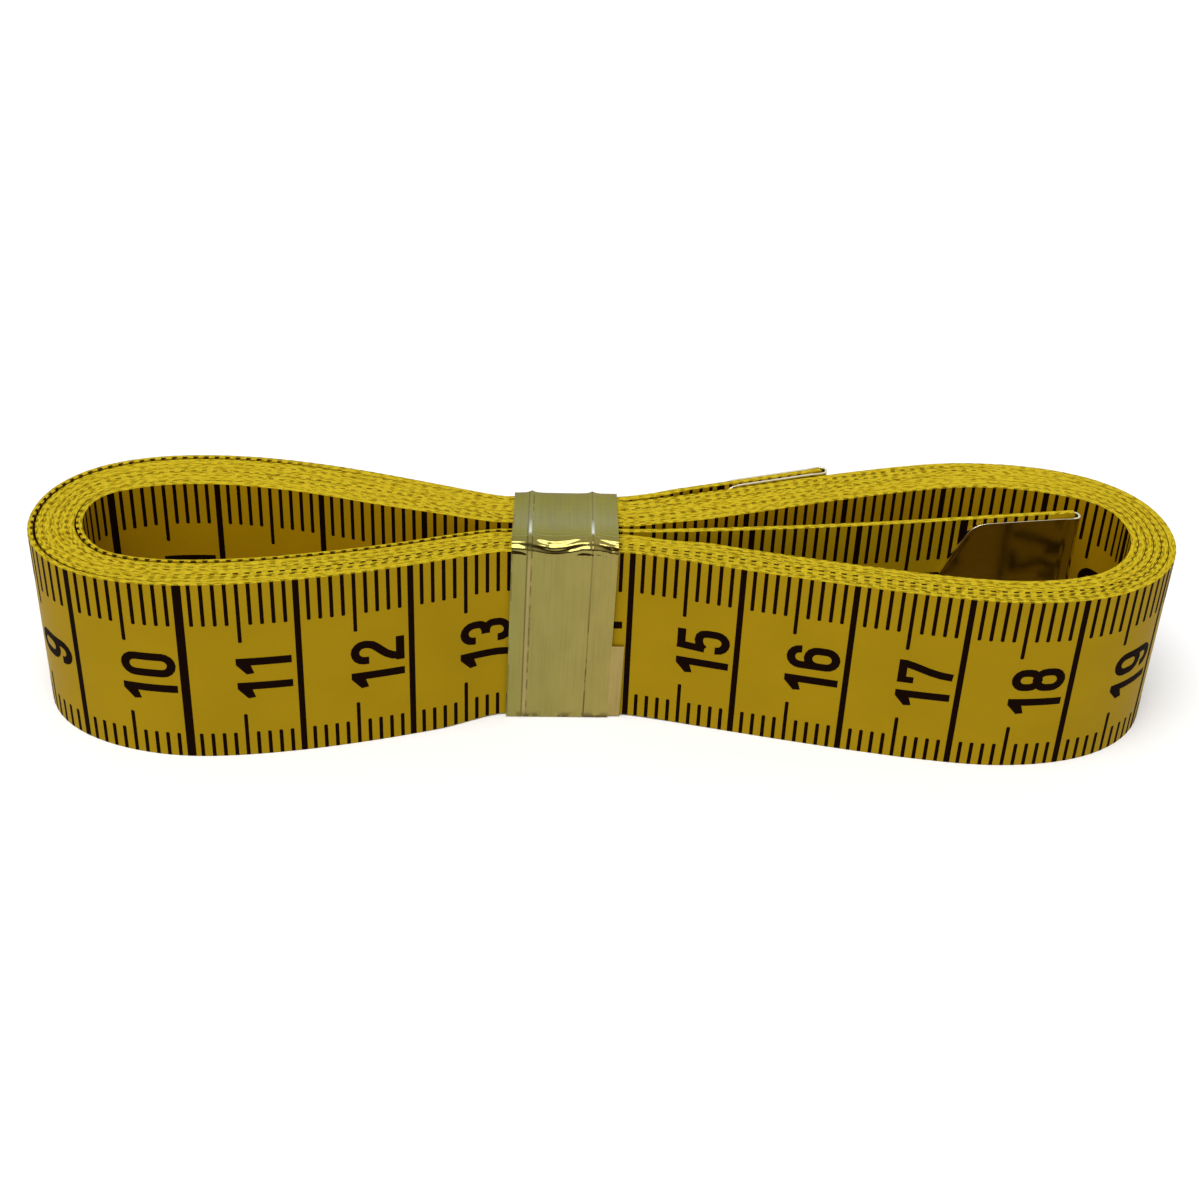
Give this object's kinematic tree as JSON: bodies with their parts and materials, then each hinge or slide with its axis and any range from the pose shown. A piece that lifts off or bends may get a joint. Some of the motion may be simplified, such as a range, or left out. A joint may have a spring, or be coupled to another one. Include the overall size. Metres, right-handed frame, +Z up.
{
  "type": "tailor's measuring tape",
  "caption": "Flexible sewing tape measure wound into a two-looped hank on its long edge, with a folded metal ferrule on each end and a gold band round the waist.",
  "frame": {"origin": "middle of the hank's footprint, on the surface that it stands on", "axes": "+X along the hank, towards the longer loop; +Y towards the back, away from the side that the band is lapped on; +Z up, along the tape's width"},
  "size_m": [0.1036, 0.0238, 0.0197],
  "materials": {
    "yellow_tape": "coated woven tape, satin, black printed scale on both faces",
    "bright_ferrule": "bright plated sheet steel",
    "gold_foil": "pale gold metallised film"
  },
  "bodies": {
    "hank": {"tape_hank": "yellow_tape"},
    "band": {"gold_band": "gold_foil"},
    "inner_end": {"inner_tape_end": "yellow_tape", "inner_ferrule": "bright_ferrule"},
    "outer_end": {"outer_tape_end": "yellow_tape", "outer_ferrule": "bright_ferrule"}
  },
  "joints": [
    {"name": "band_slide", "type": "slide", "parent": "hank", "child": "band", "axis": [1, 0, 0], "range_m": [-0.001, 0.001]},
    {"name": "inner_end_bend", "type": "hinge", "parent": "hank", "child": "inner_end", "pos_m": [0.00325, -0.00011, 0.00965], "axis": [0, 0, 1], "range_deg": [-10, 2.5], "stiffness_Nm_per_rad": 0.003},
    {"name": "outer_end_bend", "type": "hinge", "parent": "hank", "child": "outer_end", "pos_m": [0.00324, 0.00486, 0.00965], "axis": [0, 0, 1], "range_deg": [0, 75], "stiffness_Nm_per_rad": 0.001}
  ]
}
